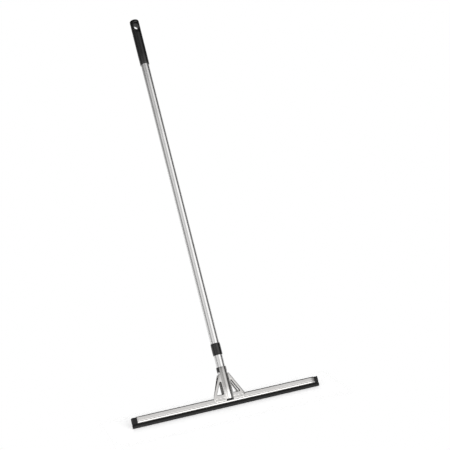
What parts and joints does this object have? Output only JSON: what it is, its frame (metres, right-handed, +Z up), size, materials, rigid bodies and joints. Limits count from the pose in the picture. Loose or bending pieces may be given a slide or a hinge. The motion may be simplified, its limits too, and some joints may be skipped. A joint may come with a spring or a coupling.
{
  "type": "floor squeegee",
  "caption": "Wide floor squeegee: round aluminium handle with a black grip, twist collar coupling, pressed steel bracket and a steel channel holding a double rubber blade.",
  "frame": {"origin": "under the middle of the blade, at its lower edge, on the handle's axis", "axes": "+Z up along the handle to the grip, +X along the head, -Y is the front of the head"},
  "size_m": [0.55, 0.028, 1.188],
  "materials": {
    "aluminium": "satin drawn tube with fine lengthwise grain",
    "galvanised_steel": "light galvanised sheet, semi-matt",
    "zinc_plated_steel": "zinc plated, satin",
    "grip_black": "moulded, soft sheen",
    "collar_black": "moulded, soft sheen",
    "nylon": "moulded, matt",
    "cellular_rubber": "closed-cell rubber, matt"
  },
  "bodies": {
    "handle": {"handle_tube": "aluminium", "hand_grip": "grip_black", "handle_bush": "nylon", "bush_stud_left": "zinc_plated_steel", "bush_stud_right": "zinc_plated_steel", "clamp_ring": "nylon"},
    "collar": {"coupling_collar": "collar_black"},
    "head": {"coupling_spigot": "nylon", "spigot_pin": "zinc_plated_steel", "stub_tube": "aluminium", "foot_plug": "nylon", "socket_bush": "collar_black", "bracket_front": "galvanised_steel", "bracket_rear": "galvanised_steel", "tube_rivet_lower": "zinc_plated_steel", "tube_rivet_upper": "zinc_plated_steel", "channel": "galvanised_steel"},
    "blade": {"front_blade": "cellular_rubber", "rear_blade": "cellular_rubber", "blade_spine": "nylon"}
  },
  "joints": [
    {"name": "collar_twist", "type": "hinge", "parent": "handle", "child": "collar", "pos_m": [0, 0, 0.15685], "axis": [0, 0, 1], "range_deg": [0, 90]},
    {"name": "head_release", "type": "slide", "parent": "handle", "child": "head", "axis": [0, 0, -1], "range_m": [0, 0.085]},
    {"name": "blade_slide", "type": "slide", "parent": "head", "child": "blade", "axis": [1, 0, 0], "range_m": [0, 0.545]}
  ]
}
